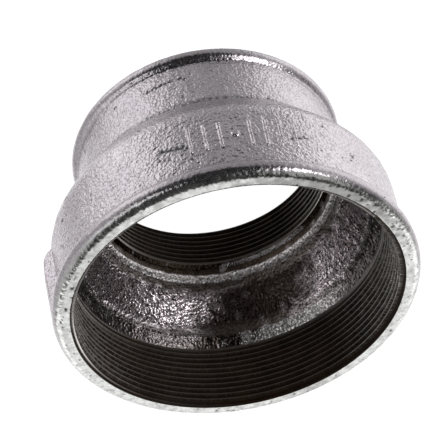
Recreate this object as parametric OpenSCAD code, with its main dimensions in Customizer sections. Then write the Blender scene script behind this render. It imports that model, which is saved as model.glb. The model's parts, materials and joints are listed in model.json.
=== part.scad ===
// Concentric reducing socket: a malleable iron pipe fitting with an internal
// parallel pipe thread at each end, a bead round each mouth, a rounded shoulder
// between the two sockets and one low grip rib on the large end.
//
// The real fitting is one casting. Each node below is a named zone of that
// casting, and neighbouring zones meet face to face with no gap and no overlap.
//
// Frame: origin at the centre of the small end face, +Z along the bore axis
// towards the large mouth, the cast marks on the -Y side. Millimetres.

/* [Overall] */
// Length between the two end faces
overall_l = 77; // [76:0.5:90]

/* [Large end] */
// Major (root) diameter of the large internal thread
large_major_d = 113.03; // [112.8:0.01:113.2]
// Depth of the large thread from its end face
large_thread_l = 26; // [22:0.5:28]
// Outside diameter of the large bead
large_bead_d = 125.5; // [124:0.5:130]
// Outside diameter of the large socket, next to its bead
large_wall_d = 119.4; // [119:0.1:120]
// Outside diameter of the large socket, at the start of the shoulder
large_shoulder_d = 122; // [121:0.1:122.4]
// Diameter of the large mouth at the face, outside the lead-in chamfer
large_mouth_d = 113.6; // [113.3:0.1:114.4]

/* [Small end] */
// Major (root) diameter of the small internal thread
small_major_d = 87.884; // [87.6:0.01:88]
// Depth of the small thread from its end face
small_thread_l = 19.2; // [17:0.1:20]
// Outside diameter of the small bead
small_bead_d = 101.2; // [100:0.1:103]
// Outside diameter of the small socket
small_wall_d = 97; // [96:0.5:98]
// Diameter of the small mouth at the face, outside the lead-in chamfer
small_mouth_d = 89.4; // [88.6:0.1:90]

/* [Thread form] */
// Pitch of both threads (11 threads per inch)
pitch = 2.309; // [2.3:0.001:2.32]
// Depth of the thread, from crest to root
thread_depth = 1.479; // [1.4:0.001:1.5]

/* [Beads] */
// Axial width of the large bead, with its fillet
large_bead_w = 8.3; // [8:0.1:9]
// Radius of the large bead's round nose
large_bead_nose = 3.6; // [3.2:0.1:3.8]
// Axial width of the small bead, with its fillet
small_bead_w = 7.6; // [7.4:0.1:8.4]
// Radius of the small bead's round nose
small_bead_nose = 3.3; // [3:0.1:3.4]

/* [Shoulder] */
// Distance from the large end face to the start of the shoulder
shoulder_start = 29.5; // [29:0.5:30]
// Slope of the shoulder, from the axis
shoulder_slope = 33; // [32:1:35]
// Radius that rounds the large socket into the shoulder
shoulder_round = 10; // [8:1:12]
// Radius that rounds the foot of the shoulder
foot_round = 6; // [5:0.5:7]
// Angle from the axis at which the foot meets its fillet
foot_angle = 68; // [66:1:72]
// Radius of the fillet between the shoulder and the small socket
foot_fillet = 2.2; // [1.8:0.1:2.6]

/* [Cavity] */
// Diameter of the cast chamber behind the large thread
chamber_d = 104.2; // [103:0.1:105]
// Diameter of the neck behind the small thread
neck_d = 91.2; // [90.6:0.1:91.6]
// Slope of the cavity wall between the chamber and the neck, from the axis
cavity_slope = 28; // [26:1:36]

/* [Grip rib] */
// Angle of the rib round the axis, from +X
rib_angle = -12; // [-16:1:-11]
// Distance of the rib's crown from the axis
rib_crown_r = 63.9; // [63.5:0.1:64.2]
// Width of the rib's flat crown
rib_crown_w = 4.4; // [4:0.1:6]
// Width of the rib where it meets the socket
rib_base_w = 10; // [9.4:0.1:12]
// Distance from the large end face to the rib's far tip
rib_reach = 30.5; // [30:0.5:34]

/* [Cast marks] */
// Height of the marks above the cast surface
mark_h = 0.5; // [0.3:0.1:0.8]
// Width of one tally bar
mark_w = 1.1; // [0.8:0.1:1.4]
// Angle of the middle of the row round the axis, from +X
mark_angle = -102; // [-110:1:-90]
// Angle between neighbouring marks
mark_step = 4.6; // [4:0.1:5]

/* [Hidden] */

$fn = 180;
// Steps in a rounded stretch of an outline
arc_steps = 8;
// Clearance by which a cutting tool passes the face that it cuts
past = 1;

// Crest (bore) radii of the two threads
large_crest_r = large_major_d / 2 - thread_depth;
small_crest_r = small_major_d / 2 - thread_depth;
// Flat at each crest and each root: the thread form's rounding, taken as a flat
thread_flat = pitch / 6;
// Radii at which the thread zones meet the sockets round them
large_sleeve_r = large_major_d / 2 + 1.1;
small_sleeve_r = small_major_d / 2 + 1.35;

// Heights of the zone borders above the small end face
small_socket_top = small_bead_w + 21;
shoulder_top = overall_l - shoulder_start;
large_thread_foot = overall_l - large_thread_l;
large_bead_foot = overall_l - large_bead_w;

// Cone that the tap left between the large thread and the cast chamber
large_runout_foot = large_thread_foot - 3.7;
// Bore that the tap cleared behind the small thread, and the cone up to the neck
small_clear_r = small_crest_r + thread_depth;
small_clear_top = small_thread_l + 4.7;
small_ledge_top = small_clear_top + 2.3;

// A row of points on an arc, from angle a0 to angle a1 about [cx, cy]
function arc(cx, cy, r, a0, a1, steps = arc_steps) =
    [for (i = [0:steps]) let (a = a0 + (a1 - a0) * i / steps)
        [cx + r * cos(a), cy + r * sin(a)]];

// Outer outline of a bead whose end face is at height 0, from the face's outer
// edge round the nose to the fillet on the wall, with the other end upwards
fillet_r = 1.6;
function bead_nose_end(bead_r, nose, wall_r) =
    acos((bead_r - nose - wall_r - fillet_r) / -(nose + fillet_r));
function bead_outline(bead_r, nose, wall_r) =
    let (centre_r = bead_r - nose,
         meet = bead_nose_end(bead_r, nose, wall_r),
         fillet_h = nose + (nose + fillet_r) * sin(meet))
    concat(
        arc(centre_r, nose, nose, -90, meet),
        arc(wall_r + fillet_r, fillet_h, fillet_r, 180 + meet, 180, arc_steps / 2));

// The large bead's outline hangs down from the mouth, so it is turned over
function turned_over(points) =
    [for (i = [len(points) - 1:-1:0]) [points[i][0], overall_l - points[i][1]]];

// Outer outline of the shoulder, from the small socket up to the large one:
// a fillet, a round foot, a straight slope and a round top
top_r = large_shoulder_d / 2;
top_centre_r = top_r - shoulder_round;
slope_end_r = top_centre_r + shoulder_round * cos(shoulder_slope);
slope_end_h = shoulder_top - shoulder_round * sin(shoulder_slope);
fillet_end_r = small_wall_d / 2 + foot_fillet * (1 - cos(foot_angle));
foot_drop_r = foot_round * (cos(shoulder_slope) - cos(foot_angle));
slope_start_r = fillet_end_r + foot_drop_r;
slope_start_h = slope_end_h - (slope_end_r - slope_start_r) / tan(shoulder_slope);
foot_centre_r = slope_start_r - foot_round * cos(shoulder_slope);
foot_centre_h = slope_start_h + foot_round * sin(shoulder_slope);
foot_end_h = foot_centre_h - foot_round * sin(foot_angle);
fillet_centre_h = foot_end_h - foot_fillet * sin(foot_angle);
shoulder_outline = concat(
    arc(small_wall_d / 2 + foot_fillet, fillet_centre_h, foot_fillet, 180, 180 - foot_angle),
    arc(foot_centre_r, foot_centre_h, foot_round, -foot_angle, -shoulder_slope),
    arc(top_centre_r, shoulder_top, shoulder_round, -shoulder_slope, 0));

// Inner outline of the cavity, from the neck up to the chamber
cavity_round = 7;
neck_top = small_socket_top + 0.4;
neck_round_end_r = neck_d / 2 + cavity_round * (1 - cos(cavity_slope));
neck_round_end_h = neck_top + cavity_round * sin(cavity_slope);
bowl_start_r = chamber_d / 2 - cavity_round * (1 - cos(cavity_slope));
bowl_start_h = neck_round_end_h + (bowl_start_r - neck_round_end_r) / tan(cavity_slope);
bowl_top = bowl_start_h + cavity_round * sin(cavity_slope);
cavity_outline = concat(
    arc(neck_d / 2 + cavity_round, neck_top, cavity_round, 180, 180 - cavity_slope),
    arc(chamber_d / 2 - cavity_round, bowl_top, cavity_round, -cavity_slope, 0));

// Radius of the cavity at the border between the shoulder and the large socket
border_cavity_r = chamber_d / 2
    + (large_crest_r - chamber_d / 2) * (shoulder_top - large_runout_foot)
      / (large_thread_foot - large_runout_foot);

// Outer outline of the whole casting, from the small end face to the large one
small_bead_outline = bead_outline(small_bead_d / 2, small_bead_nose, small_wall_d / 2);
large_bead_outline = turned_over(
    bead_outline(large_bead_d / 2, large_bead_nose, large_wall_d / 2));

// One thread's inner outline, upwards from its mouth at height 0: the lead-in
// chamfer, then a row of grooves, then the last crest up to the thread's end
chamfer_slope = 45;
function thread_outline(mouth_r, crest_r, length, lead) =
    let (root_r = crest_r + thread_depth,
         half_mouth = (pitch - thread_flat) / 2,
         half_root = thread_flat / 2,
         first = lead + half_mouth,
         count = floor((length - first - half_mouth) / pitch))
    concat(
        [[mouth_r, 0], [crest_r, (mouth_r - crest_r) / tan(chamfer_slope)]],
        [for (i = [0:count])
            for (point = [[crest_r, -half_mouth], [root_r, -half_root],
                          [root_r, half_root], [crest_r, half_mouth]])
                [point[0], first + i * pitch + point[1]]],
        [[crest_r, length]]);

large_lead = 2.83;
small_lead = 2.43;
large_thread_outline = thread_outline(
    large_mouth_d / 2, large_crest_r, large_thread_l, large_lead);
small_thread_outline = thread_outline(
    small_mouth_d / 2, small_crest_r, small_thread_l, small_lead);

// A closed ring turned from an outline of [radius, height] points
module ring(outline) {
    rotate_extrude()
        polygon(outline);
}

// The casting's outer surface between the two beads, filled to the axis and
// grown outwards: the tool that fits the rib and the marks to the surface
module outer_body(grow = 0) {
    ring(concat(
        [[0, small_bead_w], [small_wall_d / 2 + grow, small_bead_w]],
        [for (point = shoulder_outline) [point[0] + grow, point[1]]],
        [for (point = large_bead_outline)
            if (point[1] < overall_l) [point[0] + grow, point[1]]],
        [[large_bead_d / 2 - large_bead_nose, overall_l], [0, overall_l]]));
}

// Wall of the large end, round its thread, with the tap's run-out cone inside
module large_socket() {
    color("silver")
        ring([
            [border_cavity_r, shoulder_top],
            [large_crest_r, large_thread_foot],
            [large_sleeve_r, large_thread_foot],
            [large_sleeve_r, large_bead_foot],
            [large_wall_d / 2, large_bead_foot],
            [large_shoulder_d / 2, shoulder_top]]);
}

// Rounded reducer between the two sockets: convex outside, a bowl inside
module shoulder() {
    color("silver")
        ring(concat(
            [[small_wall_d / 2, small_socket_top]],
            shoulder_outline,
            [[border_cavity_r, shoulder_top], [chamber_d / 2, large_runout_foot]],
            [for (i = [len(cavity_outline) - 1:-1:0]) cavity_outline[i]],
            [[neck_d / 2, small_socket_top]]));
}

// Wall of the small end, round its thread and the neck behind it
module small_socket() {
    color("silver")
        ring([
            [small_sleeve_r, small_bead_w],
            [small_wall_d / 2, small_bead_w],
            [small_wall_d / 2, small_socket_top],
            [neck_d / 2, small_socket_top],
            [neck_d / 2, small_ledge_top],
            [small_clear_r, small_clear_top],
            [small_clear_r, small_thread_l + thread_depth],
            [small_crest_r, small_thread_l],
            [small_sleeve_r, small_thread_l]]);
}

// Round bead that stiffens the large mouth, with the large end face
module large_bead() {
    color("gainsboro")
        ring(concat(
            [[large_sleeve_r, large_bead_foot], [large_wall_d / 2, large_bead_foot]],
            large_bead_outline,
            [[large_sleeve_r, overall_l]]));
}

// Round bead that stiffens the small mouth, with the small end face
module small_bead() {
    color("gainsboro")
        ring(concat(
            [[small_sleeve_r, 0]],
            small_bead_outline,
            [[small_wall_d / 2, small_bead_w], [small_sleeve_r, small_bead_w]]));
}

// Threaded zone of the large end, with its lead-in chamfer
module large_thread() {
    color("dimgray")
        ring(concat(
            [for (point = large_thread_outline) [point[0], overall_l - point[1]]],
            [[large_sleeve_r, large_thread_foot], [large_sleeve_r, overall_l]]));
}

// Threaded zone of the small end, with its lead-in chamfer
module small_thread() {
    color("dimgray")
        ring(concat(
            small_thread_outline,
            [[small_sleeve_r, small_thread_l], [small_sleeve_r, 0]]));
}

// Side outline of the rib as [radius, height]: a long crown that falls gently
// to the bead and turns down in a round tip over the shoulder
rib_root_r = 55;
rib_tip_h = overall_l - rib_reach;
rib_tip_round = 5;
rib_peak_h = rib_tip_h + 11;
rib_fall = 1.2;
module rib_side() {
    polygon(concat(
        [[rib_root_r, rib_tip_h], [rib_crown_r - rib_tip_round, rib_tip_h]],
        arc(rib_crown_r - rib_tip_round, rib_tip_h + rib_tip_round, rib_tip_round, -90, 0),
        [[rib_crown_r, rib_peak_h],
         [rib_crown_r - rib_fall, large_bead_foot + large_bead_w / 2],
         [rib_root_r, large_bead_foot + large_bead_w / 2]]));
}

// Cross-section of the rib as [radius, width]: a flat crown on sloping flanks
rib_base_r = large_shoulder_d / 2 - 1;
module rib_section() {
    polygon([
        [rib_root_r, -rib_base_w / 2],
        [rib_base_r, -rib_base_w / 2],
        [rib_crown_r - 0.5, -rib_crown_w / 2 - 0.4],
        [rib_crown_r, -rib_crown_w / 2],
        [rib_crown_r, rib_crown_w / 2],
        [rib_crown_r - 0.5, rib_crown_w / 2 + 0.4],
        [rib_base_r, rib_base_w / 2],
        [rib_root_r, rib_base_w / 2]]);
}

// Low rib along the large socket, to stop a wrench from slipping round
module grip_rib() {
    color("silver")
        difference() {
            rotate([0, 0, rib_angle])
                intersection() {
                    rotate([90, 0, 0])
                        linear_extrude(rib_base_w + 2 * past, center = true)
                            rib_side();
                    translate([0, 0, rib_tip_h - past])
                        linear_extrude(rib_reach + 2 * past)
                            rib_section();
                }
            outer_body();
        }
}

// Plan of the marks along the row: a bar is 1 and a round pip is 0
mark_row = [1, 1, 1, 1, 0, 1, 1, 1];
mark_mid_h = 57;
mark_bar_l = 11;
mark_pip_r = 1.3;
mark_inner_r = 50;
mark_outer_r = 64;

// One mark: a radial prism that reaches through the casting's surface
module mark_prism(kind) {
    translate([mark_inner_r, 0, mark_mid_h])
        rotate([0, 90, 0])
            linear_extrude(mark_outer_r - mark_inner_r)
                if (kind == 1)
                    square([mark_bar_l, mark_w], center = true);
                else
                    circle(mark_pip_r);
}

// Raised foundry marks on the shoulder: plain tally bars round one pip
module cast_marks() {
    color("lightgray")
        difference() {
            intersection() {
                for (i = [0:len(mark_row) - 1])
                    rotate([0, 0, mark_angle + (i - (len(mark_row) - 1) / 2) * mark_step])
                        mark_prism(mark_row[i]);
                outer_body(mark_h);
            }
            outer_body();
        }
}

large_socket();
shoulder();
small_socket();
large_bead();
small_bead();
large_thread();
small_thread();
grip_rib();
cast_marks();
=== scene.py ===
"""Looks of a one-piece galvanised reducing socket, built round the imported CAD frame.

The work is done in millimetres and in round terms: r is the distance from the bore axis, h the
height above the small end face, and angles run in degrees round the axis from +X. make_piece()
turns the result into Blender's metres. Each piece stands for one CAD node, and keeps its borders.
"""
import json
import math

import bmesh
import bpy
import numpy as np
from mathutils import Matrix, Vector


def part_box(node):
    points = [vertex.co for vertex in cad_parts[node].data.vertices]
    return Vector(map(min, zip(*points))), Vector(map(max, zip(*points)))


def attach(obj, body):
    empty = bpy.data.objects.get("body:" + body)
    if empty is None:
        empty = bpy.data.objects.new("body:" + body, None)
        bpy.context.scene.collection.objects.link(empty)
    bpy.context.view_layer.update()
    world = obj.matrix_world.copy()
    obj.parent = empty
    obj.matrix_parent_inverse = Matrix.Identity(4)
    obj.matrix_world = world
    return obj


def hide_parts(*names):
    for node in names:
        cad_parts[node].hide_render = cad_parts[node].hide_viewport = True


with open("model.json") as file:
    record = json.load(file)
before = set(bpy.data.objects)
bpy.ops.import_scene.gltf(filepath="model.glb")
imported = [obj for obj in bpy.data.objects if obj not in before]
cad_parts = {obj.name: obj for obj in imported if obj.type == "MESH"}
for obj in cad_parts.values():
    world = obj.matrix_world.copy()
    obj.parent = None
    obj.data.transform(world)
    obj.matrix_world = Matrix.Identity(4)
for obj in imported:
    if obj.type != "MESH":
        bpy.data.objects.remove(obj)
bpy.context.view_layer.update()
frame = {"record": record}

MM = 0.001
X_AXIS = 0
Z_AXIS = 2


def low(node, axis=Z_AXIS):
    """The lowest coordinate of a CAD node along an axis."""
    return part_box(node)[0][axis] / MM


def high(node, axis=Z_AXIS):
    """The highest coordinate of a CAD node along an axis. Along X, it is a ring's outer radius."""
    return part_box(node)[1][axis] / MM


def crest_radius(mount):
    """The crest radius of the thread that the record gives for a mount."""
    return next(m["dims"]["r_mm"] for m in frame["record"]["mounts"] if m["name"] == mount)


# Heights of the borders between the nodes
SMALL_BEAD_TOP = high("small_bead")
SMALL_SOCKET_TOP = high("small_socket")
SHOULDER_TOP = high("shoulder")
LARGE_BEAD_FOOT = low("large_bead")
LENGTH = high("large_bead")
SMALL_THREAD_TOP = high("small_thread")
LARGE_THREAD_FOOT = low("large_thread")

# Radii of the outside, and of the borders between the threads and the sockets round them
LARGE_BEAD_R = high("large_bead", X_AXIS)
SMALL_BEAD_R = high("small_bead", X_AXIS)
SHOULDER_R = high("shoulder", X_AXIS)
SMALL_WALL_R = high("small_socket", X_AXIS)
LARGE_SLEEVE_R = high("large_thread", X_AXIS)
SMALL_SLEEVE_R = high("small_thread", X_AXIS)
LARGE_WALL_R = 59.7

# Beads and shoulder
LARGE_NOSE = 3.6
SMALL_NOSE = 3.3
BEAD_FILLET = 1.6
TOP_ROUND = 10.0
FOOT_ROUND = 6.0
FOOT_FILLET = 2.2
SHOULDER_SLOPE = math.radians(33)
FOOT_ANGLE = math.radians(68)

# Mouths, threads and cavity
LARGE_MOUTH_R = 56.8
SMALL_MOUTH_R = 44.7
LARGE_CREST_R = crest_radius("large_thread")
SMALL_CREST_R = crest_radius("small_thread")
PITCH = 2.309
THREAD_DEPTH = 1.479
THREAD_ROUND = 0.317
FLANK = math.radians(27.5)
CHAMBER_R = 52.1
NECK_R = 45.6
LARGE_RUNOUT = 3.7
TAPPED_TOP = SMALL_THREAD_TOP + 4.7
LEDGE_TOP = TAPPED_TOP + 2.3
CAVITY_ROUND = 7.0
CAVITY_SLOPE = math.radians(28)
NECK_TOP = SMALL_SOCKET_TOP + 0.4

# Height of one root of each thread at 90 degrees, the length over which a thread grows shallow at
# its inner end, and the depth of the dents along it
LARGE_ROOT_H = LENGTH - 3.79
SMALL_ROOT_H = 3.39
THREAD_VANISH = 1.3 * PITCH
DENT_DEPTH = 0.012

# How far outside the crest radius a crest is worn bright, and over what depth that fades. Then the
# same for the land at the foot of the chamfer, inwards from the mouth
CREST_WEAR = 0.18
CREST_FADE = 0.07
LAND_DROP = 0.65
LAND_FADE = 0.15

# Relief of the cast skins: the depth and wavelength of each layer, and its seed. The raised patches
# share their layers, and take their own seeds from RIB_SEED and MARK_SEED up. RELIEF_SPREAD is how
# far a layer's waves stray from its wavelength, as a natural logarithm
RELIEF_SPREAD = 0.35
WALL_LUMPS = ((0.030, 7.0, 1), (0.012, 2.6, 2))
WALL_GRAIN = ((0.018, 1.25, 3),)
CAVITY_LUMPS = ((0.05, 6.0, 11), (0.024, 2.4, 12))
CAVITY_GRAIN = ((0.030, 1.3, 13),)
BEAD_STREAKS = 0.018
PATCH_GRAIN = ((0.03, 2.2), (0.015, 1.0))
RIB_SEED = 41
MARK_SEED = 60

# Radii at which the relief of the outside and of the cavity has its true wavelength round the axis
OUTSIDE_MEAN_R = 57
CAVITY_MEAN_R = 49

# How deep a bead's skin lies inside its outline, to keep its relief within it, over what height it
# comes out again, and how deep the spots of dross are sunk
BEAD_SINK = 0.12
BEAD_FADE = 2
DROSS_DEPTH = 0.16

# Pool of oil and painted shade in the cavity, a painted dark reflection of the wall across it: the
# angle of its middle at one height, how far it spreads, and its lean in degrees for each mm of
# height
OIL_SHADE_POOL_ANGLE = 100.0
OIL_SHADE_POOL_H = 37.0
OIL_SHADE_POOL_SPREAD = 15.0
OIL_SHADE_POOL_LEAN = 0.9

# Side on which oil and painted shade hide the worn crests of the threads, and how much of them they
# hide
THREAD_OIL_SHADE_ANGLE = 84.0
THREAD_OIL_SHADE_SHARE = 0.91

# Cleaner stretch of the ledge behind the large thread, bare metal brightened as a painted highlight
WORN_LIT_ANGLE = 110.0
WORN_LIT_SPREAD = 16.0

# Soiled stretches of the end faces: the angle of the middle, how far it spreads, and how dull it is
SOILED = ((-126.0, 26.0, 0.72), (-40.0, 24.0, 0.26), (110.0, 9.0, 0.32))

# Height of the painted shade in the crease under the shoulder
CREASE_SHADE_H = 27.6

# Grip rib
RIB_ANGLE = -12.0
RIB_CROWN_R = 63.8
RIB_CROWN_W = 4.4
RIB_BASE_W = 9.6
RIB_TIP_H = low("grip_rib")
RIB_END_H = high("grip_rib")
RIB_TIP_ROUND = 5.0
RIB_PEAK_H = RIB_TIP_H + 11
RIB_FALL = 1.2
RIB_TIP_STEEP = 3.0
RIB_FLANK_FALL = 4.0
RIB_EDGE_LIFT = 0.2
RIB_EDGE_BLEND = 0.9
RIB_SIDE_MARGIN = 0.6
RIB_TIP_MARGIN = 0.8

# Cast marks: a plain row of tally bars (1) round one pip (0)
MARK_ROW = (1, 1, 1, 1, 0, 1, 1, 1)
MARK_ANGLE = -102.0
MARK_STEP = 4.6
MARK_MID_H = 57.0
MARK_BAR_L = 10.6
MARK_BAR_W = 1.0
MARK_PIP_R = 1.3
MARK_HEIGHT = 0.42
MARK_MARGIN = 0.35

# Raised patches: how deep their edges dip under the skin, and how deep their flat backs lie
PATCH_DIP = 0.3
PATCH_BACK = 0.7
MARK_DIP = 0.12

# Fineness of the outlines and meshes
ARC_POINTS = 40
COLUMNS = 800
THREAD_COLUMNS = 720
ROW_SPACING = 0.44
RIB_SPACING = 0.3
MARK_SPACING = 0.14


def arc(centre_r, centre_h, radius, start, end, tall=1.0):
    """Points along an arc from one angle to another, in radians, and tall times as high as wide."""
    turn = np.linspace(start, end, ARC_POINTS)
    r = centre_r + radius * np.cos(turn)
    return np.column_stack([r, centre_h + tall * radius * np.sin(turn)])


def bead_outline(bead_r, nose, wall_r):
    """A bead's outline from its end face at height 0, round its nose and fillet, to the wall."""
    meet = math.acos((bead_r - nose - wall_r - BEAD_FILLET) / -(nose + BEAD_FILLET))
    fillet_h = nose + (nose + BEAD_FILLET) * math.sin(meet)
    return np.vstack([
        arc(bead_r - nose, nose, nose, -math.pi / 2, meet),
        arc(wall_r + BEAD_FILLET, fillet_h, BEAD_FILLET, math.pi + meet, math.pi)])


def shoulder_outline():
    """The shoulder from the small socket up: a fillet, a round foot, a slope and a round top."""
    top_centre_r = SHOULDER_R - TOP_ROUND
    slope_end_r = top_centre_r + TOP_ROUND * math.cos(SHOULDER_SLOPE)
    slope_end_h = SHOULDER_TOP - TOP_ROUND * math.sin(SHOULDER_SLOPE)
    fillet_end_r = SMALL_WALL_R + FOOT_FILLET * (1 - math.cos(FOOT_ANGLE))
    slope_start_r = fillet_end_r + FOOT_ROUND * (math.cos(SHOULDER_SLOPE) - math.cos(FOOT_ANGLE))
    slope_start_h = slope_end_h - (slope_end_r - slope_start_r) / math.tan(SHOULDER_SLOPE)
    foot_centre_r = slope_start_r - FOOT_ROUND * math.cos(SHOULDER_SLOPE)
    foot_centre_h = slope_start_h + FOOT_ROUND * math.sin(SHOULDER_SLOPE)
    foot_end_h = foot_centre_h - FOOT_ROUND * math.sin(FOOT_ANGLE)
    fillet_h = foot_end_h - FOOT_FILLET * math.sin(FOOT_ANGLE)
    return np.vstack([
        arc(SMALL_WALL_R + FOOT_FILLET, fillet_h, FOOT_FILLET, math.pi, math.pi - FOOT_ANGLE),
        arc(foot_centre_r, foot_centre_h, FOOT_ROUND, -FOOT_ANGLE, -SHOULDER_SLOPE),
        arc(top_centre_r, SHOULDER_TOP, TOP_ROUND, -SHOULDER_SLOPE, 0)])


def outside_outline():
    """The whole outer outline, from the edge of the small mouth to the edge of the large one."""
    large_bead = bead_outline(LARGE_BEAD_R, LARGE_NOSE, LARGE_WALL_R)[::-1]
    large_bead[:, 1] = LENGTH - large_bead[:, 1]
    return np.vstack([
        [[SMALL_MOUTH_R, 0]],
        bead_outline(SMALL_BEAD_R, SMALL_NOSE, SMALL_WALL_R),
        shoulder_outline(),
        large_bead,
        [[LARGE_MOUTH_R, LENGTH]]])


def inside_outline():
    """The cast cavity between the two threads, from the small thread up to the large one."""
    drop = CAVITY_ROUND * (1 - math.cos(CAVITY_SLOPE))
    rise = CAVITY_ROUND * math.sin(CAVITY_SLOPE)
    slope_rise = (CHAMBER_R - NECK_R - 2 * drop) / math.tan(CAVITY_SLOPE)
    bowl_top = NECK_TOP + 2 * rise + slope_rise
    tapped_r = SMALL_CREST_R + THREAD_DEPTH
    ledge_w = NECK_R - tapped_r
    tall = (LEDGE_TOP - TAPPED_TOP) / ledge_w
    return np.vstack([
        [[SMALL_CREST_R, SMALL_THREAD_TOP], [tapped_r, SMALL_THREAD_TOP + THREAD_DEPTH]],
        arc(NECK_R, TAPPED_TOP, ledge_w, math.pi, 0.56 * math.pi, tall),
        arc(NECK_R + CAVITY_ROUND, NECK_TOP, CAVITY_ROUND, math.pi, math.pi - CAVITY_SLOPE),
        arc(CHAMBER_R - CAVITY_ROUND, bowl_top, CAVITY_ROUND, -CAVITY_SLOPE, 0),
        [[CHAMBER_R, LARGE_THREAD_FOOT - LARGE_RUNOUT], [LARGE_CREST_R, LARGE_THREAD_FOOT]]])


def rows_along(outline, borders):
    """Evenly spaced rows along an outline, with one on each border, and the borders' indices."""
    travel = np.concatenate([[0], np.cumsum(np.hypot(*np.diff(outline, axis=0).T))])
    stops = [0.0]
    for border in borders:
        after = int(np.argmax(outline[:, 1] >= border))
        share = (border - outline[after - 1, 1]) / (outline[after, 1] - outline[after - 1, 1])
        stops.append(travel[after - 1] + share * (travel[after] - travel[after - 1]))
    stops.append(travel[-1])
    places = []
    index = [0]
    for start, end in zip(stops, stops[1:]):
        count = max(2, round((end - start) / ROW_SPACING))
        places.extend(np.linspace(start, end, count, endpoint=False))
        index.append(index[-1] + count)
    places.append(stops[-1])
    rows = np.column_stack([np.interp(places, travel, outline[:, axis]) for axis in (0, 1)])
    return rows, index


def relief(shape, steps, wavelength, seed, stretch=1.0):
    """Random relief with one main wavelength and unit deviation, which joins up all round."""
    white = np.random.default_rng(seed).standard_normal(shape)
    down = np.fft.fftfreq(shape[0], steps[0])[:, None]
    across = np.fft.fftfreq(shape[1], steps[1])[None, :] * stretch
    waves = np.maximum(np.hypot(down, across), 1e-6) * wavelength
    passed = np.exp(-0.5 * (np.log(waves) / RELIEF_SPREAD) ** 2)
    made = np.fft.ifft2(np.fft.fft2(white) * passed).real
    return made / made.std()


def layered(shape, steps, layers):
    """A sum of reliefs, each with its own depth, wavelength and seed."""
    return sum(depth * relief(shape, steps, wavelength, seed) for depth, wavelength, seed in layers)


def angles(count):
    """The columns' angles round the axis, in radians."""
    return np.arange(count) * 2 * math.pi / count


def around(r, h, count):
    """Points with the given radii and heights at each column's angle."""
    r, h, turn = np.broadcast_arrays(r, h, angles(count))
    return np.stack([r * np.cos(turn), r * np.sin(turn), h], axis=-1)


def outward(points):
    """Smooth normals of a grid of rows by columns, pointing left of its rows' direction."""
    along = np.gradient(points, axis=0)
    round_it = np.roll(points, -1, axis=1) - np.roll(points, 1, axis=1)
    normals = np.cross(round_it, along)
    return normals / np.maximum(np.linalg.norm(normals, axis=2, keepdims=True), 1e-12)


def spot_field(points, spots, seed):
    """How deep each point lies in the nearest ragged spot (x, y, z, radius), from 0 to 1."""
    ragged = 1 + 0.3 * relief(points.shape[:2], (ROW_SPACING, ROW_SPACING), 1.6, seed)
    field = np.zeros(points.shape[:2])
    for x, y, z, radius in spots:
        away = np.linalg.norm(points - np.array([x, y, z]), axis=2) / radius * ragged
        field = np.maximum(field, np.clip(1.6 - 1.3 * away, 0, 1))
    return field


OUTSIDE, OUTSIDE_BORDERS = rows_along(
    outside_outline(), (SMALL_BEAD_TOP, SMALL_SOCKET_TOP, SHOULDER_TOP, LARGE_BEAD_FOOT))
INSIDE, INSIDE_BORDERS = rows_along(inside_outline(), (SMALL_SOCKET_TOP, SHOULDER_TOP))


def wall_radius(h):
    """The outer radius at a height between the two beads."""
    first, last = OUTSIDE_BORDERS[1], OUTSIDE_BORDERS[4]
    return np.interp(h, OUTSIDE[first:last, 1], OUTSIDE[first:last, 0])


def on_wall(angle, h, radius):
    """A spot on the outer wall."""
    r = wall_radius(h)
    return (r * math.cos(math.radians(angle)), r * math.sin(math.radians(angle)), h, radius)


def on_face(angle, r, radius):
    """A spot on the large end face."""
    return (r * math.cos(math.radians(angle)), r * math.sin(math.radians(angle)), LENGTH, radius)


def streak(spot, start, end, radius, count):
    """A row of spots of varied size between two places."""
    sizes = (1.0, 0.55, 0.8, 0.45, 0.9, 0.6)
    places = np.linspace(start, end, count)
    return [spot(*place, radius * sizes[i % len(sizes)]) for i, place in enumerate(places)]


def scatter(spot, count, *draws):
    """Spots at random. Each draw is a kind of chance with its two figures: one draw for the angle,
    one for the height or distance from the axis, and one for the spot's own radius."""
    return [spot(*(draw(a, b) for draw, a, b in draws)) for _ in range(count)]


def wall_spots():
    """Streaks of dross and pin holes in the zinc on the outer wall, and more holes at random."""
    spots = streak(on_wall, (-72, 13.2), (-83, 12.8), 0.75, 12)
    spots += streak(on_wall, (-86, 12.7), (-88, 13.2), 0.7, 3)
    spots += streak(on_wall, (-77, 57.6), (-86, 59.6), 0.85, 12)
    spots += streak(on_wall, (-76, 61.0), (-79, 62.0), 0.6, 3)
    spots += streak(on_wall, (-117, 59.0), (-122, 57.6), 0.6, 6)
    spots += streak(on_wall, (-118, 38.5), (-124, 40.4), 0.55, 5)
    spots += streak(on_wall, (-71, 30.5), (-77, 31.5), 0.45, 5)
    spots += [on_wall(-35, 44, 0.7), on_wall(-36, 42.6, 0.4), on_wall(-139, 58.5, 0.6)]
    chance = np.random.default_rng(31)
    return spots + scatter(on_wall, 90, (chance.uniform, -180, 180), (chance.uniform, 9, 68),
                           (chance.uniform, 0.25, 0.5))


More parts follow.
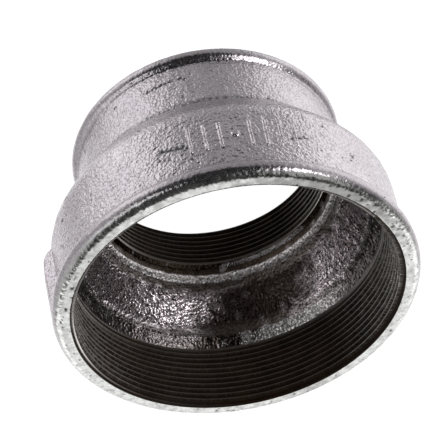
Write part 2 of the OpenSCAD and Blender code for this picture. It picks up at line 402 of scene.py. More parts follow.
def face_spots():
    """Pin holes in the large end face and its nose, some at their places and more at random."""
    places = ((-24, 60.9, 0.7), (-9.5, 61.2, 0.6), (-18, 58.3, 0.7), (-16, 61.8, 0.7),
              (-28, 57.8, 0.6), (-134, 57.8, 0.5), (-139, 58.7, 0.7), (-144, 59.8, 0.6),
              (-146, 61.9, 0.6))
    spots = [on_face(*place) for place in places]
    spots += streak(on_face, (79, 60.3), (84, 61.4), 0.7, 6)
    chance = np.random.default_rng(32)
    spots += scatter(on_face, 10, (chance.normal, -20, 12), (chance.uniform, 57.4, 61),
                     (chance.uniform, 0.2, 0.38))
    spots += scatter(on_face, 14, (chance.normal, -142, 12), (chance.uniform, 57.4, 62),
                     (chance.uniform, 0.22, 0.5))
    spots += scatter(on_face, 34, (chance.uniform, 0, 230), (chance.uniform, 57.4, 62),
                     (chance.uniform, 0.18, 0.4))
    return spots


def stain_share(away, spread, edge, ragged=0.0, most=1.0):
    """Share of a stain at a distance from its middle.

    It reaches as far as edge times spread, and fades over the last spread."""
    return np.clip(edge - np.abs(away) / spread + ragged, 0, most)


def band(h, middle, half_w, fade):
    """1 within a band of heights, fading to 0 past its edges."""
    return np.clip(0.5 - (np.abs(h - middle) - half_w) / fade, 0, 1)


def bead_share(h):
    """1 on the beads and end faces, where relief may only go inwards, and 0 on the walls."""
    from_small = np.clip((SMALL_BEAD_TOP - h) / BEAD_FADE, 0, 1)
    from_large = np.clip((h - LARGE_BEAD_FOOT) / BEAD_FADE, 0, 1)
    return np.maximum(from_small, from_large)


def face_share(h):
    """1 on the end faces and the inner half of the beads' noses, fading to 0 round the noses."""
    return stain_share(np.minimum(h, LENGTH - h), spread=1.1, edge=1.6)


def outside_stains(h, shape, steps):
    """Shares of painted shade in the creases, under the shoulder and by the large bead, and of
    soiled face.
    """
    # Painted shade: dark bands in the crease under the shoulder and at the foot of the large bead
    crease_shade = stain_share(h - CREASE_SHADE_H, spread=1.9, edge=1.6, most=0.66)
    crease_shade = np.maximum(crease_shade, stain_share(h - LARGE_BEAD_FOOT, spread=0.6, edge=1.2, most=0.22))
    crease_shade = crease_shade * (1 + 0.3 * relief(shape, steps, 3.0, 6))
    cloud = 0.3 * relief(shape, steps, 5.0, 7)
    turn = np.degrees(angles(COLUMNS))
    soiled = np.zeros(shape)
    for middle, spread, most in SOILED:
        away = (turn - middle + 180) % 360 - 180
        soiled = np.maximum(soiled, stain_share(away, spread, 1.5, cloud) * most)
    return crease_shade, soiled


def outside_skin():
    """The cast outside as a grid of points and normals, with the share of each of its marks."""
    shape = (len(OUTSIDE), COLUMNS)
    steps = (ROW_SPACING, 2 * math.pi * OUTSIDE_MEAN_R / COLUMNS)
    r, h = OUTSIDE.T[:, :, None]
    bead = bead_share(h)
    streaks = BEAD_STREAKS * relief(shape, steps, 3.2, 4, stretch=0.45)
    bump = layered(shape, steps, WALL_LUMPS) * (1 - 0.5 * bead) + layered(shape, steps, WALL_GRAIN)
    bump = bump + streaks * bead - BEAD_SINK * bead
    base = around(r, h, COLUMNS)
    dross = spot_field(base, wall_spots() + face_spots(), 5)
    bump = bump - DROSS_DEPTH * dross
    points = base + bump[:, :, None] * outward(base)
    reach = np.hypot(points[:, :, 0], points[:, :, 1])
    points[:, :, :2] *= np.minimum(1, LARGE_BEAD_R / reach)[:, :, None]
    points[:, :, 2] = np.clip(points[:, :, 2], 0, LENGTH)
    crease_shade, soiled = outside_stains(h, shape, steps)
    marks = {"dross": dross, "bead": bead * np.ones(shape), "face": face_share(h) * np.ones(shape),
             "crease_shade": crease_shade, "soiled": soiled}
    return points, outward(points), marks


def cavity_stains(h, steps):
    """Shares of oil film, with a pool of painted shade, and of bare, rough ledge, with a painted
    highlight on one stretch, in the cavity, at heights h in every column.
    """
    stain = 0.20 * relief((len(h), COLUMNS), steps, 9.0, 14)
    turn = np.degrees(angles(COLUMNS))
    runout_foot = LARGE_THREAD_FOOT - LARGE_RUNOUT
    # Painted highlight: a brighter, cleaner stretch of bare ledge round one angle, with oil film
    # elsewhere
    wear_and_painted_light = stain_share(turn - WORN_LIT_ANGLE, WORN_LIT_SPREAD, 1.7, stain)
    small_ledge = 1.5 * band(h, (TAPPED_TOP + LEDGE_TOP) / 2, 1.2, 0.8)
    small_ledge = np.clip(small_ledge + 0.8 * stain - 0.2, 0, 1)
    small_bevel = band(h, SMALL_THREAD_TOP + 0.8, 0.5, 0.4) * wear_and_painted_light
    large_ledge = np.clip(0.5 + (h - runout_foot) / 0.5 + stain, 0, 1)
    bare_and_highlight = np.maximum.reduce([small_ledge, small_bevel, large_ledge * wear_and_painted_light])
    tapped = np.clip((TAPPED_TOP - h) / 0.6 + stain, 0, 1)
    neck = stain_share(h - LEDGE_TOP - 1.4, spread=3.0, edge=1.6, ragged=stain, most=0.95)
    chamber = stain_share(h - runout_foot + 1.4, spread=1.6, edge=1.3, ragged=stain, most=0.8)
    # Painted shade: a dark pool on one side of the cavity, part oil and part a painted reflection
    # of the dark wall across it
    middle = OIL_SHADE_POOL_ANGLE - OIL_SHADE_POOL_LEAN * (h - OIL_SHADE_POOL_H)
    oil_and_shade_pool = 0.96 * np.sqrt(stain_share(turn - middle, OIL_SHADE_POOL_SPREAD, 2.1, 0.8 * stain))
    film = np.clip(large_ledge * (1 - wear_and_painted_light) + 0.5 * stain, 0, 0.8)
    oil_and_shade = np.maximum.reduce([tapped, neck, chamber, oil_and_shade_pool, film])
    return oil_and_shade * (1 - bare_and_highlight), bare_and_highlight


def inside_skin():
    """The rough cavity as a grid of points and normals, with the share of each of its marks."""
    shape = (len(INSIDE), COLUMNS)
    steps = (ROW_SPACING, 2 * math.pi * CAVITY_MEAN_R / COLUMNS)
    r, h = INSIDE.T[:, :, None]
    rough_ledge = 1 + 1.4 * band(h, LEDGE_TOP - 1, 1.3, 0.8)
    bump = layered(shape, steps, CAVITY_LUMPS) + layered(shape, steps, CAVITY_GRAIN) * rough_ledge
    from_ends = np.minimum(h - SMALL_THREAD_TOP, LARGE_THREAD_FOOT - h)
    bump = bump * np.clip(from_ends / 1.2, 0, 1)
    base = around(r, h, COLUMNS)
    points = base - bump[:, :, None] * outward(base)
    oil_and_shade, bare_and_highlight = cavity_stains(h, steps)
    return points, -outward(points), {"inside": np.ones(shape), "oil_and_shade": oil_and_shade, "bare_and_highlight": bare_and_highlight}


# Shares written on the casting's meshes for its material: dark dross, smoother bead, end face,
# painted shade in the creases, soiled stretch of end face, the cast cavity, oil film with a pool of
# painted shade, and bare ledge with a painted highlight on one stretch
MARKS = ("dross", "bead", "face", "crease_shade", "soiled", "inside", "oil_and_shade", "bare_and_highlight")


def make_piece(name, node, points, faces, material, slot, normals=None, **marks):
    """Makes a mesh piece that stands for one CAD node and rides on the only body."""
    mesh = bpy.data.meshes.new(name)
    mesh.from_pydata((np.asarray(points) * MM).tolist(), [], faces.tolist())
    mesh.polygons.foreach_set("use_smooth", np.ones(len(mesh.polygons), bool))
    for mark, values in marks.items():
        written = mesh.attributes.new(mark, "FLOAT", "POINT").data
        written.foreach_set("value", values.astype(np.float32))
    if normals is not None:
        mesh.normals_split_custom_set_from_vertices(normals.tolist())
    mesh.materials.append(material)
    piece = bpy.data.objects.new(name, mesh)
    bpy.context.scene.collection.objects.link(piece)
    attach(piece, "root")
    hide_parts(node)
    return piece


def ring_faces(rows, columns):
    """Quads of a closed loop of rows, each of which closes round the axis."""
    row, column = np.meshgrid(np.arange(rows), np.arange(columns), indexing="ij")
    next_row, next_column = (row + 1) % rows, (column + 1) % columns
    corners = (row * columns + column, row * columns + next_column,
               next_row * columns + next_column, next_row * columns + column)
    return np.stack(corners, axis=-1).reshape(-1, 4)


class Ring:
    """Rows of a closed ring piece: visible stretches of skin, and hidden rows at its borders."""

    def __init__(self):
        self.points = []
        self.normals = []
        self.marks = {mark: [] for mark in MARKS}

    def show(self, points, normals, marks):
        """Adds visible rows."""
        self.points.append(points)
        self.normals.append(normals)
        for mark in MARKS:
            self.marks[mark].append(marks.get(mark, np.zeros(points.shape[:2])))

    def hide(self, *corners):
        """Adds hidden rows at the given radii and heights."""
        for r, h in corners:
            row = around(np.array([[r]]), h, COLUMNS)
            self.show(row, row * 0 + (0, 0, 1), {})

    def make(self, name, node, material):
        """Closes the ring and makes it a piece."""
        points = np.concatenate(self.points)
        marks = {mark: np.concatenate(rows).ravel() for mark, rows in self.marks.items()}
        normals = np.concatenate(self.normals).reshape(-1, 3)
        return make_piece(name, node, points.reshape(-1, 3), ring_faces(*points.shape[:2]),
                          material, "galvanised_iron", normals, **marks)


def casting_pieces(material):
    """The five zones of the casting, cut from one continuous outside and one continuous cavity."""
    outside, inside = outside_skin(), inside_skin()
    small_bead, small_socket, shoulder, large_socket, large_bead = (
        slice(a, b + 1) for a, b in zip(OUTSIDE_BORDERS, OUTSIDE_BORDERS[1:]))
    neck, bowl, chamber = (slice(a, b + 1) for a, b in zip(INSIDE_BORDERS, INSIDE_BORDERS[1:]))

    def outer(ring, rows):
        points, normals, marks = outside
        ring.show(points[rows], normals[rows], {mark: share[rows] for mark, share in marks.items()})

    def inner(ring, rows):
        points, normals, marks = inside
        marks = {mark: share[rows][::-1] for mark, share in marks.items()}
        ring.show(points[rows][::-1], normals[rows][::-1], marks)

    ring = Ring()
    outer(ring, small_bead)
    ring.hide((SMALL_SLEEVE_R, SMALL_BEAD_TOP), (SMALL_SLEEVE_R, SMALL_SLEEVE_R - SMALL_MOUTH_R))
    ring.make("small_bead_casting", "small_bead", material)

    ring = Ring()
    outer(ring, small_socket)
    inner(ring, neck)
    ring.hide((SMALL_SLEEVE_R, SMALL_THREAD_TOP), (SMALL_SLEEVE_R, SMALL_BEAD_TOP))
    ring.make("small_socket_casting", "small_socket", material)

    ring = Ring()
    outer(ring, shoulder)
    inner(ring, bowl)
    ring.make("shoulder_casting", "shoulder", material)

    ring = Ring()
    outer(ring, large_socket)
    ring.hide((LARGE_SLEEVE_R, LARGE_BEAD_FOOT), (LARGE_SLEEVE_R, LARGE_THREAD_FOOT))
    inner(ring, chamber)
    ring.make("large_socket_casting", "large_socket", material)

    ring = Ring()
    outer(ring, large_bead)
    cone = LARGE_SLEEVE_R - LARGE_MOUTH_R
    ring.hide((LARGE_SLEEVE_R, LENGTH - cone), (LARGE_SLEEVE_R, LARGE_BEAD_FOOT))
    ring.make("large_bead_casting", "large_bead", material)


def thread_form(x):
    """Depth of the rounded 55 degree thread form below its crest, at a distance x from a root."""
    x = np.abs((x + PITCH / 2) % PITCH - PITCH / 2)
    from_crest = PITCH / 2 - x
    round_w = THREAD_ROUND * math.cos(FLANK)
    flank = THREAD_DEPTH / 2 + (PITCH / 4 - x) / math.tan(FLANK)
    root = THREAD_DEPTH - THREAD_ROUND + np.sqrt(np.maximum(THREAD_ROUND ** 2 - x ** 2, 0))
    crest = THREAD_ROUND - np.sqrt(np.maximum(THREAD_ROUND ** 2 - from_crest ** 2, 0))
    return np.where(x < round_w, root, np.where(from_crest < round_w, crest, flank))


def thread_phases():
    """Distances from a root, within one pitch, at which the thread form needs a row of points."""
    edge = THREAD_ROUND * math.cos(FLANK)
    half = (0.0, edge / 2, edge, PITCH / 2 - edge, PITCH / 2 - edge / 2)
    return half + (PITCH / 2,) + tuple(PITCH - x for x in half[:0:-1])


def worn_share(r, crest_r, mouth_r, chamfer):
    """Share of bright metal on a thread's crests and the land under its chamfer, clear of oil and
    of the painted shade on one side.
    """
    crest = np.clip((CREST_WEAR - r + crest_r) / CREST_FADE, 0, 1)
    land = np.clip((mouth_r - LAND_DROP - r) / LAND_FADE, 0, 1)
    turn = angles(THREAD_COLUMNS)
    # Painted shade: the crests are dimmed on one side round the axis, as oil
    oiled_and_shaded = np.clip(1.6 * np.cos(turn - math.radians(THREAD_OIL_SHADE_ANGLE)) - 0.25, 0, 1)
    return np.where(chamfer, land, crest) * (1 - THREAD_OIL_SHADE_SHARE * oiled_and_shaded)


def thread_grid(crest_r, mouth_r, mouth_h, end_h, root_h):
    """Radii, heights and worn shares of a right-hand thread, on rows that follow its helix.

    root_h is the height of one root at 90 degrees. The rows are held between the two ends, and the
    mouth has a 45 degree chamfer."""
    low_h, high_h = min(mouth_h, end_h), max(mouth_h, end_h)
    turns = math.ceil((high_h - low_h) / PITCH) + 3
    root_at_zero = root_h - PITCH / 4
    first_root = root_at_zero - PITCH * math.ceil((root_at_zero - low_h) / PITCH + 1)
    starts = (first_root + PITCH * np.arange(turns)[:, None] + np.array(thread_phases())).ravel()
    climb = PITCH * angles(THREAD_COLUMNS) / (2 * math.pi)
    h = np.clip(starts[:, None] + climb, low_h, high_h)
    from_end = np.abs(h - end_h)
    depth = thread_form(h - root_at_zero - climb) * np.clip(from_end / THREAD_VANISH, 0, 1)
    dents = DENT_DEPTH * relief(h.shape, (0.25, 0.45), 3.0, 21, stretch=0.3)
    r = np.maximum(crest_r + depth + dents * np.clip(from_end, 0, 1), mouth_r - np.abs(h - mouth_h))
    chamfer = r > crest_r + depth + dents + 0.01
    return r, h, worn_share(r, crest_r, mouth_r, chamfer)


def helix_faces(helix_rows, hidden_rows, rows_per_turn):
    """Quads of a closed loop of rows, the helix's and then the hidden ones.

    Where the columns wrap round, a row of the helix meets the row one turn on."""
    rows = helix_rows + hidden_rows
    row, column = np.meshgrid(np.arange(rows), np.arange(THREAD_COLUMNS), indexing="ij")
    wrapped = column == THREAD_COLUMNS - 1
    upper = (row + 1) % rows
    next_column = (column + 1) % THREAD_COLUMNS

    def met(row):
        one_turn_on = np.minimum(row + rows_per_turn, helix_rows - 1)
        return np.where(wrapped & (row < helix_rows), one_turn_on, row)

    corners = (row * THREAD_COLUMNS + column, upper * THREAD_COLUMNS + column,
               met(upper) * THREAD_COLUMNS + next_column, met(row) * THREAD_COLUMNS + next_column)
    return np.stack(corners, axis=-1).reshape(-1, 4)


def thread_piece(name, node, material, crest_r, mouth_r, sleeve_r, mouth_h, end_h, root_h):
    """An internal thread between its mouth and its end, with a plain sleeve behind it."""
    r, h, crest = thread_grid(crest_r, mouth_r, mouth_h, end_h, root_h)
    cone_h = mouth_h - math.copysign(sleeve_r - mouth_r, mouth_h - end_h)
    sleeve_h = sorted((cone_h, end_h), reverse=True)
    faces = helix_faces(len(r), len(sleeve_h), len(thread_phases()))
    for height in sleeve_h:
        r = np.vstack([r, np.full(THREAD_COLUMNS, sleeve_r)])
        h = np.vstack([h, np.full(THREAD_COLUMNS, height)])
        crest = np.vstack([crest, np.zeros(THREAD_COLUMNS)])
    points = around(r, h, THREAD_COLUMNS).reshape(-1, 3)
    piece = make_piece(name, node, points, faces, material, "cut_thread_iron", crest=crest.ravel())
    join_doubles(piece.data)
    return piece


def join_doubles(mesh):
    """Joins the points that coincide, and creases the edges where two faces meet sharply."""
    sharp = math.radians(50)
    work = bmesh.new()
    work.from_mesh(mesh)
    bmesh.ops.remove_doubles(work, verts=work.verts, dist=1e-7)
    for edge in work.edges:
        edge.smooth = edge.calc_face_angle(0) < sharp
    work.to_mesh(mesh)
    work.free()


def smooth_min(a, b, blend):
    """The smaller of two fields, rounded where they cross."""
    share = np.clip(0.5 + 0.5 * (b - a) / blend, 0, 1)
    return b * (1 - share) + a * share - blend * share * (1 - share)


def patch(angle, half_w, low_h, high_h, spacing, rise, seed):
    """A raised patch on the wall, as a closed solid: a relief whose foot dips under the skin.

    rise gives the height above the wall for a distance across and a height along the casting."""
    across = np.linspace(-half_w, half_w, max(4, round(2 * half_w / spacing)))
    along = np.linspace(low_h, high_h, max(4, round((high_h - low_h) / spacing)))
    x, h = np.meshgrid(across, along)
    wall = wall_radius(h)
    layers = [(*layer, seed + place) for place, layer in enumerate(PATCH_GRAIN)]
    r = wall + np.maximum(rise(x, h) + layered(x.shape, (spacing, spacing), layers), -PATCH_DIP)
    turn = math.radians(angle) + x / wall
    top = np.stack([r * np.cos(turn), r * np.sin(turn), h], axis=-1)
    deep = wall - PATCH_BACK
    under = np.stack([deep * np.cos(turn), deep * np.sin(turn), h], axis=-1)
    rows, columns = x.shape
    index = np.arange(rows * columns).reshape(rows, columns)
    quads = [index[:-1, :-1], index[:-1, 1:], index[1:, 1:], index[1:, :-1]]
    top_faces = np.stack(quads, axis=-1).reshape(-1, 4)
    under_faces = top_faces[:, ::-1] + rows * columns
    rim = np.concatenate([index[0, :-1], index[:-1, -1], index[-1, :0:-1], index[:0:-1, 0]])
    after = np.roll(rim, -1)
    sides = np.stack([after, rim, rim + rows * columns, after + rows * columns], axis=-1)
    points = np.concatenate([top.reshape(-1, 3), under.reshape(-1, 3)])
    return points, np.concatenate([top_faces, under_faces, sides])


def rib_rise(x, h):
    """Height of the grip rib above the wall: a flat crown on sloping flanks, with a round tip."""
    tip = RIB_CROWN_R - RIB_TIP_ROUND
    tip = tip + np.sqrt(np.maximum(RIB_TIP_ROUND ** 2 - (RIB_TIP_H + RIB_TIP_ROUND - h) ** 2, 0))
    fall = RIB_FALL * np.clip((h - RIB_PEAK_H) / (RIB_END_H - RIB_PEAK_H), 0, 1)
    crown = np.where(h < RIB_TIP_H + RIB_TIP_ROUND, tip, RIB_CROWN_R) - fall
    crown = np.where(h < RIB_TIP_H, tip - RIB_TIP_STEEP * (RIB_TIP_H - h), crown)
    flank_w = (RIB_BASE_W - RIB_CROWN_W) / 2
    flank = RIB_CROWN_R + RIB_EDGE_LIFT - RIB_FLANK_FALL * (np.abs(x) - RIB_CROWN_W / 2) / flank_w
    return smooth_min(crown, flank, RIB_EDGE_BLEND) - wall_radius(h)


def rib_piece(material):
    """The grip rib along the large socket."""
    points, faces = patch(RIB_ANGLE, RIB_BASE_W / 2 + RIB_SIDE_MARGIN, RIB_TIP_H - RIB_TIP_MARGIN,
                          RIB_END_H, RIB_SPACING, rib_rise, RIB_SEED)
    return make_piece("grip_rib_casting", "grip_rib", points, faces, material, "galvanised_iron")


def mark_rise(from_edge, flank_w):
    """Height of a mark above the wall, at a distance inside its edge: a flat top on a flank."""
    return -MARK_DIP + (MARK_HEIGHT + MARK_DIP) * np.clip(0.5 + from_edge / flank_w, 0, 1)


def bar_rise(x, h):
    """Height of one tally bar above the wall."""
    from_edge = np.minimum(MARK_BAR_W / 2 - np.abs(x), MARK_BAR_L / 2 - np.abs(h - MARK_MID_H))
    return mark_rise(from_edge, flank_w=0.5)


def pip_rise(x, h):
    """Height of the round pip above the wall."""
    return mark_rise(MARK_PIP_R - np.hypot(x, h - MARK_MID_H), flank_w=0.8)


def marks_piece(material):
    """The raised foundry marks, as one group of separate solids."""
    all_points = []
    all_faces = []
    count = 0
    for place, is_bar in enumerate(MARK_ROW):
        angle = MARK_ANGLE + (place - (len(MARK_ROW) - 1) / 2) * MARK_STEP
        half_l = (MARK_BAR_L / 2 if is_bar else MARK_PIP_R) + MARK_MARGIN
        half_w = (MARK_BAR_W / 2 if is_bar else MARK_PIP_R) + MARK_MARGIN
        points, faces = patch(angle, half_w, MARK_MID_H - half_l, MARK_MID_H + half_l, MARK_SPACING,
                              bar_rise if is_bar else pip_rise, MARK_SEED + 2 * place)
        all_points.append(points)
        all_faces.append(faces + count)
        count += len(points)
    return make_piece("cast_marks_raised", "cast_marks", np.concatenate(all_points),
                      np.concatenate(all_faces), material, "galvanised_iron")


class Graph:
    """Builds a node tree, one node a call."""

    def __init__(self, tree):
        self.tree = tree
        tree.nodes.clear()

    def add(self, kind, inputs=None, output=0, **settings):
        """Adds a node, fills or links its inputs, and returns the output named or numbered."""
        node = self.tree.nodes.new(kind)
        for name, value in settings.items():
            setattr(node, name, value)
        for name, value in (inputs or {}).items():
            if isinstance(value, bpy.types.NodeSocket):
                self.tree.links.new(value, node.inputs[name])
            else:
                node.inputs[name].default_value = value
        return node.outputs[output] if len(node.outputs) else node

    def noise(self, place, feature_mm, detail=2.0, roughness=0.5):
        """Cloudy noise from 0 to 1 whose features have about the given size."""
        return self.add("ShaderNodeTexNoise", {
            "Vector": place, "Scale": 1 / (feature_mm * MM), "Detail": detail,
            "Roughness": roughness})

    def spread(self, value, start, end, to_start=0.0, to_end=1.0):
        """Maps a range of values to another, held at both ends."""
        return self.add("ShaderNodeMapRange", {
            "Value": value, "From Min": start, "From Max": end, "To Min": to_start,
            "To Max": to_end})

    def maths(self, operation, a, b):
        """One step of arithmetic."""
        return self.add("ShaderNodeMath", {0: a, 1: b}, operation=operation)

    def mix(self, share, a, b):
        """Mixes two colours by a share from 0 to 1."""
        factor, colour_a, colour_b, mixed = 0, 6, 7, 2
        return self.add("ShaderNodeMix", {factor: share, colour_a: a, colour_b: b}, output=mixed,
                        data_type="RGBA")

    def bump(self, height, depth_mm):
        """A bumped normal, from a height where 1 stands for the given depth."""
        return self.add("ShaderNodeBump", {
            "Height": height, "Strength": 1.0, "Distance": depth_mm * MM}, output="Normal")

    def mark(self, name):
        """A share that was written on the mesh, such as how much dross is there."""
        return self.add("ShaderNodeAttribute", output="Fac", attribute_name=name)


def new_material(name):
    """An empty node material."""
    material = bpy.data.materials.new(name)
    material.use_nodes = True
    return material, Graph(material.node_tree)


def round_place(graph, place):
    """Coordinates that run round the axis and, squeezed, along it, so noise makes short streaks."""
    squeeze = 0.25
    x = graph.add("ShaderNodeSeparateXYZ", {0: place})
    y, height = x.node.outputs["Y"], x.node.outputs["Z"]
    travel = graph.maths("MULTIPLY", graph.maths("ARCTAN2", y, x), LARGE_WALL_R * MM)
    height = graph.maths("MULTIPLY", height, squeeze)
    return graph.add("ShaderNodeCombineXYZ", {0: travel, 1: height})


# Colours of the casting: zinc and its clouds, specks, burnished beads and painted crease shade; the
# end faces; the cavity; its bare ledges, also used as painted highlight; oil, also used as painted
# shade; and dross
ZINC_GREY = (0.68, 0.623, 0.67, 1)
ZINC_PALE = (0.78, 0.729, 0.77, 1)
ZINC_SPECK = (0.53, 0.49, 0.52, 1)
ZINC_BEAD = (0.36, 0.34, 0.35, 1)
CREASE_SHADE_GREY = (0.22, 0.21, 0.215, 1)
FACE_GREY = (0.50, 0.50, 0.49, 1)
FACE_PALE = (0.82, 0.83, 0.815, 1)
FACE_SOILED = (0.20, 0.195, 0.19, 1)
CAVITY_DARK = (0.12, 0.11, 0.11, 1)
CAVITY_PALE = (0.96, 0.88, 0.92, 1)
LEDGE_DARK = (0.30, 0.285, 0.28, 1)
LEDGE_PALE = (1.0, 0.96, 0.95, 1)
OIL_AND_SHADE_BROWN = (0.038, 0.027, 0.019, 1)
DROSS = (0.035, 0.033, 0.032, 1)

# Colours of the cut threads: two shades of oiled iron, and the worn crests
IRON_DARK = (0.018, 0.010, 0.005, 1)
IRON_BROWN = (0.036, 0.021, 0.011, 1)
IRON_WORN = (0.92, 0.88, 0.84, 1)


def skin_colour(graph, place, speck, marks):
    """Colour of the outside: cloudy zinc with fine specks, painted shade in the creases, and pale
    mottled end faces.
    """
    cloud = graph.noise(place, 14, 3)
    skin = graph.mix(graph.spread(cloud, 0.35, 0.65), ZINC_GREY, ZINC_PALE)
    skin = graph.mix(graph.spread(speck, 0.33, 0.53), ZINC_SPECK, skin)
    skin = graph.mix(graph.maths("MULTIPLY", marks["bead"], 0.3), skin, ZINC_BEAD)
    # Painted shade in the creases
    skin = graph.mix(marks["crease_shade"], skin, CREASE_SHADE_GREY)
    mottle = graph.noise(place, 3.2, 4, 0.7)
    face = graph.mix(graph.spread(mottle, 0.36, 0.60), FACE_GREY, FACE_PALE)
    face = graph.mix(marks["soiled"], face, FACE_SOILED)
    return graph.mix(marks["face"], skin, face)


def cavity_colour(graph, grain, speck, marks):
    """Colour of the cavity: rough grain, bare ledges with a painted highlight on one stretch, and
    oil with a pool of painted shade.
    """
    cavity = graph.mix(graph.spread(grain, 0.32, 0.47), CAVITY_DARK, CAVITY_PALE)
    ledge = graph.mix(graph.spread(speck, 0.40, 0.54), LEDGE_DARK, LEDGE_PALE)
    # Bare ledge colour, laid also on a stretch as a painted highlight
    cavity = graph.mix(marks["bare_and_highlight"], cavity, ledge)
    # Oil colour, also laid on the pool of painted shade
    return graph.mix(marks["oil_and_shade"], cavity, OIL_AND_SHADE_BROWN)


def zinc_bump(graph, place, grain, marks):
    """Bump of the casting: grain on the walls, fine brushing on the beads, most on bare ledges."""
    bead = marks["bead"]
    brush = graph.noise(round_place(graph, place), 0.9, 2)
    outer = graph.maths("MULTIPLY", grain, graph.spread(bead, 0, 1, 0.38, 0.07))
    brushed = graph.maths("MULTIPLY", brush, graph.maths("MULTIPLY", bead, 0.07))
    outer = graph.maths("ADD", outer, brushed)
    inner = graph.maths("MULTIPLY", grain, graph.spread(marks["bare_and_highlight"], 0, 1, 0.34, 0.46))
    height = graph.add("ShaderNodeMix", {"Factor": marks["inside"], "A": outer, "B": inner},
                       data_type="FLOAT")
    return graph.bump(height, 1.0)


def zinc():
    """Hot-dip zinc on cast iron: bright grainy grey with a faint warm mottle and dark dross."""
    material, graph = new_material("galvanised_zinc")
    place = graph.add("ShaderNodeTexCoord", output="Object")
    grain = graph.noise(place, 0.95, 1)
    speck = graph.noise(place, 0.7, 1)
    marks = {mark: graph.mark(mark) for mark in MARKS}
    skin = skin_colour(graph, place, speck, marks)
    colour = graph.mix(marks["inside"], skin, cavity_colour(graph, grain, speck, marks))
    colour = graph.mix(marks["dross"], colour, DROSS)
    rough = graph.spread(grain, 0.3, 0.7, 0.15, 0.24)
    rough = graph.maths("ADD", rough, graph.maths("MULTIPLY", marks["bead"], 0.04))
    rough = graph.maths("ADD", rough, graph.maths("MULTIPLY", marks["dross"], 0.20))
    metal = graph.maths("SUBTRACT", 0.97, graph.maths("MULTIPLY", marks["dross"], 0.9))
    metal = graph.maths("SUBTRACT", metal, graph.maths("MULTIPLY", marks["bare_and_highlight"], 0.32))
    shader = graph.add("ShaderNodeBsdfPrincipled", {
        "Base Color": colour, "Metallic": metal, "Roughness": rough,
        "Normal": zinc_bump(graph, place, grain, marks)})
    graph.add("ShaderNodeOutputMaterial", {"Surface": shader})
    return material


def thread_iron():
    """Bare iron of a cut thread under a film of oil: near black, brighter along worn crests, which
    are dimmed as painted shade on one side.
    """
    material, graph = new_material("cut_thread_iron")
    place = graph.add("ShaderNodeTexCoord", output="Object")
    cloud = graph.noise(place, 9, 3)
    scratch = graph.noise(place, 0.5, 3, 0.65)
    crest = graph.mark("crest")
    body = graph.mix(graph.spread(cloud, 0.35, 0.7), IRON_DARK, IRON_BROWN)
    # Worn crests, dimmed on one side as painted shade
    wear_and_painted_light = graph.maths("MULTIPLY", crest, graph.spread(scratch, 0.3, 0.55, 0.4, 1.0))
    rough = graph.spread(scratch, 0.3, 0.7, 0.38, 0.50)
    rough = graph.maths("SUBTRACT", rough, graph.maths("MULTIPLY", crest, 0.14))
    shader = graph.add("ShaderNodeBsdfPrincipled", {
        "Base Color": graph.mix(wear_and_painted_light, body, IRON_WORN),
        "Metallic": graph.spread(crest, 0.2, 0.8, 0.0, 0.9), "Roughness": rough,
        "Normal": graph.bump(scratch, 0.02), "Specular IOR Level": 0.12})
    graph.add("ShaderNodeOutputMaterial", {"Surface": shader})
    return material


def direction(azimuth, elevation):
    """A unit vector towards a place round and above the horizon, in degrees."""
    az, el = math.radians(azimuth), math.radians(elevation)
    return (math.cos(el) * math.cos(az), math.cos(el) * math.sin(az), math.sin(el))


# Soft shades and lights of the studio round the object, painted in turn over an even grey of
# STUDIO_BASE: azimuth, elevation, brightness, and the angles from its middle where it starts to
# fade and ends
STUDIO_BASE = 0.45
STUDIO = (
    (0, 90, 0.03, 58, 84),
    (90, -30, 1.00, 38, 64),
    (118, -70, 0.30, 10, 26),
    (-40, -46, 1.16, 9, 35),
    (178, -38, 1.14, 13, 40),
    (-104, -44, 0.34, 16, 42),
    (-90, 25, 0.01, 36, 58),
    (12, 20, 0.60, 12, 34),
    (-50, 30, 1.5, 5, 13),
    (-24, 26, 1.1, 6, 16),
    (-150, 42, 0.62, 14, 24),
    (-142, 24, 4.2, 7, 15),
    (-170, 54, 1.0, 8, 20),
    (52, 25, 1.6, 10, 22),
    (128, 25, 1.6, 10, 22),
    (90, 42, 1.10, 13, 27),
)


def studio_world():
    """Soft studio light as a few broad shades. The camera itself sees plain white."""
    world = bpy.data.worlds.new("studio")
    world.use_nodes = True
    bpy.context.scene.world = world
    graph = Graph(world.node_tree)
    towards = graph.add("ShaderNodeTexCoord", output="Generated")
    light = STUDIO_BASE
    for azimuth, elevation, brightness, inner, outer in STUDIO:
        facing = graph.add("ShaderNodeVectorMath", {0: towards, 1: direction(azimuth, elevation)},
                           output="Value", operation="DOT_PRODUCT")
        share = graph.add("ShaderNodeMapRange", {
            "Value": facing, "From Min": math.cos(math.radians(outer)),
            "From Max": math.cos(math.radians(inner))}, interpolation_type="SMOOTHSTEP")
        light = graph.add("ShaderNodeMix", {"Factor": share, "A": light, "B": brightness},
                          data_type="FLOAT")
    studio = graph.add("ShaderNodeBackground", {"Strength": light})
    plain = graph.add("ShaderNodeBackground", {"Strength": 1.0})
    for background in (studio, plain):
        background.node.inputs["Color"].default_value = (1, 1, 1, 1)
    seen = graph.add("ShaderNodeLightPath", output="Is Camera Ray")
    mixed = graph.add("ShaderNodeMixShader", {0: seen, 1: studio, 2: plain})
    graph.add("ShaderNodeOutputWorld", {"Surface": mixed})


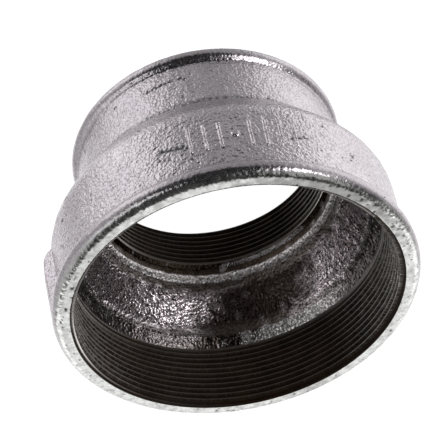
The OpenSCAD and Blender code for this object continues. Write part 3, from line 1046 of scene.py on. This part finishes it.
def studio_floor():
    """A plain white floor. Reflections pass through it, so the studio's shades reach the walls."""
    half_w = 3000 * MM
    gap = 0.05 * MM
    mesh = bpy.data.meshes.new("studio_floor")
    corners = [(x * half_w, y * half_w, 0) for x, y in ((-1, -1), (1, -1), (1, 1), (-1, 1))]
    mesh.from_pydata(corners, [], [(0, 1, 2, 3)])
    floor = bpy.data.objects.new("studio_floor", mesh)
    floor.location.z = -gap
    bpy.context.scene.collection.objects.link(floor)
    floor.visible_glossy = False
    floor.visible_diffuse = False
    floor.visible_shadow = False
    material, graph = new_material("studio_floor")
    glow = graph.add("ShaderNodeEmission", {"Color": (1, 1, 1, 1), "Strength": 1.0})
    matt = graph.add("ShaderNodeBsdfDiffuse", {"Color": (0.25, 0.25, 0.25, 1)})
    pale = graph.add("ShaderNodeAddShader", {0: glow, 1: matt})
    graph.add("ShaderNodeOutputMaterial", {"Surface": pale})
    mesh.materials.append(material)


# The camera: its place, how far it looks down, how far it is rolled over, and its lens
CAMERA_PLACE = (0.55, -320.17, 334.85)
CAMERA_ELEVATION = math.radians(43.118)
CAMERA_ROLL = math.radians(167.451)
CAMERA_LENS = 100.685


def camera():
    """The camera, nearly upside down, because the object's own frame stands it on its small end."""
    back = Vector((0, -math.cos(CAMERA_ELEVATION), math.sin(CAMERA_ELEVATION)))
    level_up = Vector((0, math.sin(CAMERA_ELEVATION), math.cos(CAMERA_ELEVATION)))
    level_right = Vector((1, 0, 0))
    right = level_right * math.cos(CAMERA_ROLL) + level_up * math.sin(CAMERA_ROLL)
    up = level_up * math.cos(CAMERA_ROLL) - level_right * math.sin(CAMERA_ROLL)
    data = bpy.data.cameras.new("camera")
    data.lens = CAMERA_LENS
    data.sensor_width = 36
    data.clip_start = 0.01
    made = bpy.data.objects.new("camera", data)
    turn = Matrix((right, up, back)).transposed().to_4x4()
    made.matrix_world = Matrix.Translation(Vector(CAMERA_PLACE) * MM) @ turn
    bpy.context.scene.collection.objects.link(made)
    bpy.context.scene.camera = made


camera()
studio_world()
studio_floor()
ZINC = zinc()
THREAD_IRON = thread_iron()
casting_pieces(ZINC)
rib_piece(ZINC)
marks_piece(ZINC)
thread_piece("large_thread_cut", "large_thread", THREAD_IRON, LARGE_CREST_R, LARGE_MOUTH_R,
             LARGE_SLEEVE_R, LENGTH, LARGE_THREAD_FOOT, LARGE_ROOT_H)
thread_piece("small_thread_cut", "small_thread", THREAD_IRON, SMALL_CREST_R, SMALL_MOUTH_R,
             SMALL_SLEEVE_R, 0.0, SMALL_THREAD_TOP, SMALL_ROOT_H)
bpy.context.scene.view_settings.view_transform = "Standard"
